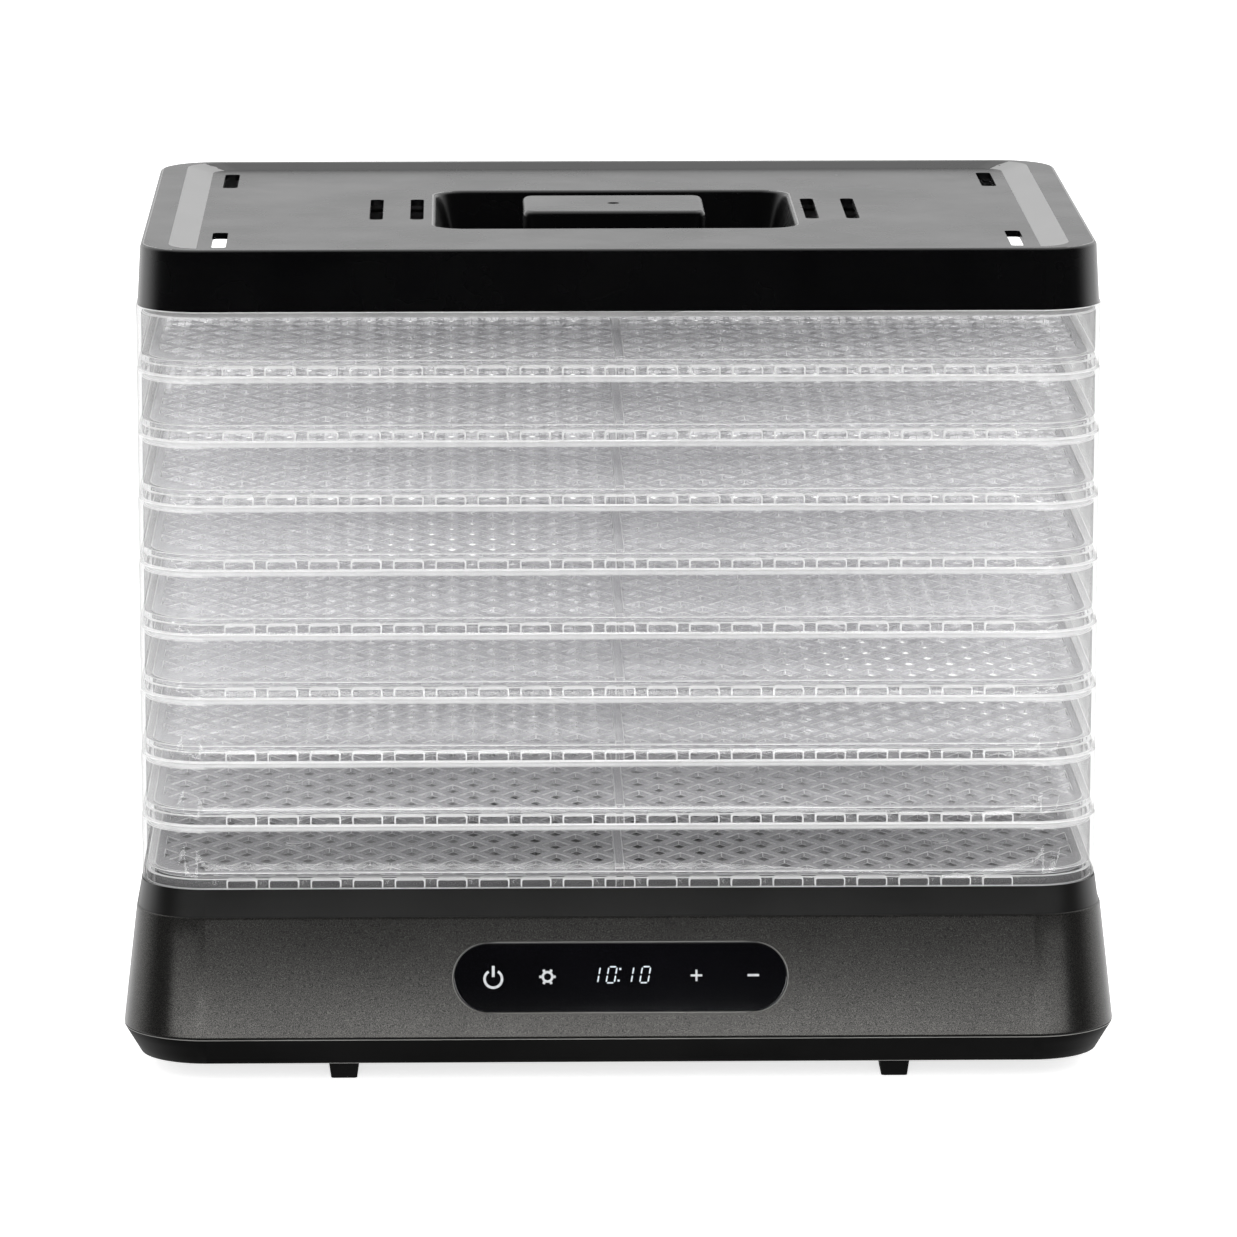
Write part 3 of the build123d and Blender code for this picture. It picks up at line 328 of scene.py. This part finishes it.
# ---------------------------------------------------------------- trays
tray_frames = [name for name in nodes if name.startswith("tray_") and name.endswith("_frame")]
tray_numbers = sorted(int(name.split("_")[1]) for name in tray_frames)
tray_low, tray_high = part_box("tray_1_frame")
tray_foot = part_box("tray_1_floor")[0].z - 4.0 * MM
tray_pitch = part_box("tray_2_frame")[0].z - tray_low.z
half_x, half_y = tray_high.x, tray_high.y


def paint_frame(face):
    """Which material a face of a tray's ring of walls takes: 0 wall, 1 rim, 2 cut edge, painted milky white
    as a highlight.
    """
    spot, way = face.calc_center_median(), face.normal
    over_foot = spot.z - tray_foot
    if min(v.co.z for v in face.verts) - tray_foot > tray_pitch - 3.0 * MM:
        return 1
    inset = min(half_x - abs(spot.x), half_y - abs(spot.y))
    if over_foot < 4.1 * MM and inset > 3.4 * MM:
        along_front = half_y - abs(spot.y) < half_x - abs(spot.x)
        sideways = abs(way.x) if along_front else abs(way.y)
        if abs(way.z) > 0.5 or sideways > 0.75:
            return 2
    if 3.0 * MM < over_foot < 6.5 * MM and abs(way.z) > 0.7:
        return 1
    return 0


def paint_floor(face):
    """Which material a face of a tray's floor takes: 0 flat face, 1 side of a hole or rib."""
    return 0 if abs(face.normal.z) > 0.7 else 1


def takes_light(edge):
    """Whether a tray's edge is sharp enough to round, and isn't part of a faint thumb scallop."""
    if len(edge.link_faces) != 2 or edge.calc_face_angle() < TRAY_SHARP:
        return False
    middle = (edge.verts[0].co + edge.verts[1].co) / 2
    down = tray_high.z - middle.z
    return not (abs(middle.x) < 27 * MM and abs(middle.y) > half_y - 4 * MM and 0.5 * MM < down < 9 * MM)


def tray_mesh(kind, paint):
    """The lowest tray's mesh, with its flat faces merged so that its edges round cleanly."""
    bm = bmesh.new()
    bm.from_mesh(nodes["tray_1_" + kind].data)
    bmesh.ops.remove_doubles(bm, verts=bm.verts[:], dist=SHARED)
    bmesh.ops.dissolve_limit(bm, angle_limit=FLAT, verts=bm.verts[:], edges=bm.edges[:])
    weight = bm.edges.layers.float.new("bevel_weight_edge")
    for edge in bm.edges:
        edge[weight] = float(takes_light(edge))
    for face in bm.faces:
        face.material_index = paint(face)
        face.smooth = True
    mesh = bpy.data.meshes.new("tray_" + kind)
    bm.to_mesh(mesh)
    bm.free()
    return mesh


def stack_trays(kind, paint, mats, width, edge_slot):
    """One shared mesh on each of the nine trays, in place of the tray's CAD node."""
    mesh = tray_mesh(kind, paint)
    for mat in mats:
        mesh.materials.append(mat)
    for number in tray_numbers:
        obj = bpy.data.objects.new(f"tray_{number}_{kind}_clear", mesh)
        scene.collection.objects.link(obj)
        obj.location.z = (number - 1) * tray_pitch
        edges = soften(obj, width, edge_slot)
        edges.limit_method = "WEIGHT"
        edges.harden_normals = True
        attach(obj, f"tray_{number}")
        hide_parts(f"tray_{number}_{kind}")


# The frames' rounded edges and window cuts take the milky white edge material: a painted highlight.
stack_trays("frame", paint_frame, [wall_clear, rim_clear, edge_clear_painted_highlight], FRAME_EDGE, 2)
# The floors' rounded edges take the milky white rib edge material: a painted highlight.
stack_trays("floor", paint_floor, [floor_top, floor_side, rib_edge_painted_highlight], FLOOR_EDGE, 2)


# ---------------------------------------------------------------- control panel
def panel_frame():
    """The middle of the panel's front face, with its right, up and outward directions."""
    mesh = nodes["control_panel"].data
    face = max(mesh.polygons, key=lambda p: p.area if p.normal.y < -0.9 else 0)
    low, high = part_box("control_panel")
    out = face.normal.copy()
    right = Vector((1, 0, 0))
    up = out.cross(right)
    z = (low.z + high.z) / 2
    on_face = mesh.vertices[face.vertices[0]].co
    y = on_face.y - (z - on_face.z) * out.z / out.y
    return Vector((0, y, z)), right, up.normalized() if up.z > 0 else -up.normalized(), out


centre, right, up, out = panel_frame()


def on_panel(x, y, lift=0.00006):
    """A point on the panel, in millimetres from its middle."""
    return centre + right * (x * MM) + up * (y * MM) + out * lift


def plate(name, outlines, mat, thick=0.00005):
    """Thin raised shapes on the panel, from outlines in millimetres."""
    bm = bmesh.new()
    for points in outlines:
        verts = [bm.verts.new(on_panel(x, y)) for x, y in points]
        bm.faces.new(verts)
    geom = bmesh.ops.extrude_face_region(bm, geom=bm.faces[:])
    moved = [v for v in geom["geom"] if isinstance(v, bmesh.types.BMVert)]
    bmesh.ops.translate(bm, verts=moved, vec=out * thick)
    bmesh.ops.recalc_face_normals(bm, faces=bm.faces[:])
    mesh = bpy.data.meshes.new(name)
    bm.to_mesh(mesh)
    bm.free()
    obj = bpy.data.objects.new(name, mesh)
    scene.collection.objects.link(obj)
    dress(obj, mat)
    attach(obj, "base")
    return obj


def ring_pieces(x, y, outer, inner, start, end, steps=28):
    """A ring or arc as a run of small quads."""
    angles = [math.radians(start + (end - start) * i / steps) for i in range(steps + 1)]
    pieces = []
    for a, b in zip(angles, angles[1:]):
        pieces.append([
            (x + inner * math.cos(a), y + inner * math.sin(a)),
            (x + outer * math.cos(a), y + outer * math.sin(a)),
            (x + outer * math.cos(b), y + outer * math.sin(b)),
            (x + inner * math.cos(b), y + inner * math.sin(b)),
        ])
    return pieces


def bar(x, y, width, height):
    """An upright rectangle about a middle point."""
    return [(x - width / 2, y - height / 2), (x + width / 2, y - height / 2),
            (x + width / 2, y + height / 2), (x - width / 2, y + height / 2)]


def seven_segment(x, y0, text, width=3.35, height=6.6, thick=0.6, gap=0.28, slant=0.18, pitch=6.85):
    """Lit digits, drawn as the seven bars that such a display has."""
    lit = {"0": "abcdef", "1": "bc"}
    half = height / 2
    pieces = []
    for i, char in enumerate(text):
        cx = x + i * pitch
        for seg in lit[char]:
            w, t = width / 2, thick / 2
            if seg in "ad":
                y = half if seg == "a" else -half
                shape = [
                    (-w + gap, y), (-w + gap + t, y + t), (w - gap - t, y + t),
                    (w - gap, y), (w - gap - t, y - t), (-w + gap + t, y - t),
                ]
            else:
                sx = w if seg in "bc" else -w
                lo, hi = (gap, half - gap) if seg in "bf" else (-half + gap, -gap)
                shape = [
                    (sx, lo), (sx + t, lo + t), (sx + t, hi - t),
                    (sx, hi), (sx - t, hi - t), (sx - t, lo + t),
                ]
            pieces.append([(cx + px + slant * py, y0 + py) for px, py in shape])
    return pieces


row = 1.2
digits = seven_segment(-10.5, row, "10") + seven_segment(3.25, row, "10")
digits += [bar(-0.1, row + 2.4, 0.85, 0.85), bar(-0.8, row - 2.4, 0.85, 0.85)]
power = ring_pieces(-52.1, -0.3, 4.1, 3.05, 122, 418) + [bar(-52.1, 2.8, 1.15, 4.6)]
gear = ring_pieces(-29.9, 0.5, 2.45, 1.45, 0, 360)
gear += [[(-29.9 + r * math.cos(math.radians(a + d)), 0.5 + r * math.sin(math.radians(a + d)))
          for r, d in ((2.3, -13), (3.4, -9), (3.4, 9), (2.3, 13))] for a in range(0, 360, 60)]
plus = [bar(31.1, 0.8, 4.7, 0.85), bar(31.1, 2.1875, 0.85, 1.925), bar(31.1, -0.5875, 0.85, 1.925)]
minus = [bar(54.4, 0.8, 4.7, 0.95)]
plate("lit_digits", digits, glow)
# The printed symbols take the glowing print material: a painted glow.
plate("power_symbol", power, printed_painted_glow)
plate("settings_symbol", gear, printed_painted_glow)
plate("plus_symbol", plus, printed_painted_glow)
plate("minus_symbol", minus, printed_painted_glow)


# ---------------------------------------------------------------- stage
def area_light(name, size_x, size_y, power, place, target):
    """A white rectangular light that faces a target."""
    data = bpy.data.lights.new(name, "AREA")
    data.shape = "RECTANGLE"
    data.size = size_x
    data.size_y = size_y
    data.energy = power
    obj = bpy.data.objects.new(name, data)
    scene.collection.objects.link(obj)
    obj.location = place
    obj.rotation_euler = (Vector(target) - Vector(place)).to_track_quat("-Z", "Y").to_euler()
    return obj


def make_floor():
    """A bright white table top that the gloss doesn't mirror."""
    bm = bmesh.new()
    bmesh.ops.create_grid(bm, x_segments=8, y_segments=8, size=12.0)
    mesh = bpy.data.meshes.new("floor")
    bm.to_mesh(mesh)
    bm.free()
    obj = bpy.data.objects.new("floor", mesh)
    scene.collection.objects.link(obj)
    mat, tree, out_node = new_material("floor_white")
    shader = tree.nodes.new("ShaderNodeBsdfPrincipled")
    shader.inputs["Roughness"].default_value = 0.8
    shader.inputs["Specular IOR Level"].default_value = 0.1
    soft = noise(tree, 1.5, 2.0)
    white = tinted(tree, soft.outputs["Fac"], (0.93, 0.93, 0.93), (0.95, 0.95, 0.95))
    tree.links.new(white, shader.inputs["Base Color"])
    shader.inputs["Emission Color"].default_value = (1, 1, 1, 1)
    shader.inputs["Emission Strength"].default_value = 0.72
    tree.links.new(shader.outputs["BSDF"], out_node.inputs["Surface"])
    dress(obj, mat)
    obj.visible_glossy = False
    return obj


make_floor()
world = bpy.data.worlds.new("studio")
scene.world = world
world.use_nodes = True
background = world.node_tree.nodes["Background"]
where = world.node_tree.nodes.new("ShaderNodeTexCoord")
split = world.node_tree.nodes.new("ShaderNodeSeparateXYZ")
world.node_tree.links.new(where.outputs["Generated"], split.inputs["Vector"])
ramp = world.node_tree.nodes.new("ShaderNodeValToRGB")
reach = world.node_tree.nodes.new("ShaderNodeMapRange")
reach.inputs["From Min"].default_value = -1
reach.inputs["From Max"].default_value = 1
world.node_tree.links.new(split.outputs["Y"], reach.inputs["Value"])
world.node_tree.links.new(reach.outputs["Result"], ramp.inputs["Fac"])
ramp.color_ramp.elements[0].position = 0.45
ramp.color_ramp.elements[0].color = (0.02, 0.02, 0.02, 1)
ramp.color_ramp.elements[1].position = 0.7
ramp.color_ramp.elements[1].color = (1.0, 1.0, 1.0, 1)
world.node_tree.links.new(ramp.outputs["Color"], background.inputs["Color"])
sideways = world.node_tree.nodes.new("ShaderNodeMath")
sideways.operation = "ABSOLUTE"
world.node_tree.links.new(split.outputs["X"], sideways.inputs[0])
boxes = world.node_tree.nodes.new("ShaderNodeMapRange")
boxes.inputs["From Min"].default_value = 0.22
boxes.inputs["From Max"].default_value = 0.4
boxes.inputs["To Min"].default_value = 0.9
boxes.inputs["To Max"].default_value = 1.5
world.node_tree.links.new(sideways.outputs["Value"], boxes.inputs["Value"])
world.node_tree.links.new(boxes.outputs["Result"], background.inputs["Strength"])
area_light("top_light", 9.0, 9.0, 205, (0, 2.0, 6.0), (0, 2.0, 0.0))
low_card = area_light("low_card", 0.9, 0.026, 0.68, (0, -0.36, 0.014), (0, 0, 0.014))
low_card.visible_camera = False
front_fill = area_light("front_fill", 3.0, 2.0, 210, (0, -5.0, 2.0), (0, 0, 0.2))
front_fill.visible_camera = False
front_fill.visible_glossy = False

camera_data = bpy.data.cameras.new("camera")
camera = bpy.data.objects.new("camera", camera_data)
scene.collection.objects.link(camera)
camera.location = (-0.0659, -3.298, 0.7934)
camera.rotation_euler = (Vector((0.0022, 0, 0.1689)) - camera.location).to_track_quat("-Z", "Y").to_euler()
camera_data.sensor_width = 36
camera_data.lens = 229.97
camera_data.clip_start = 0.05
camera_data.clip_end = 60
scene.camera = camera
scene.view_settings.view_transform = "Standard"
scene.cycles.transparent_max_bounces = 48
scene.cycles.max_bounces = 12
scene.cycles.diffuse_bounces = 5
scene.cycles.glossy_bounces = 3
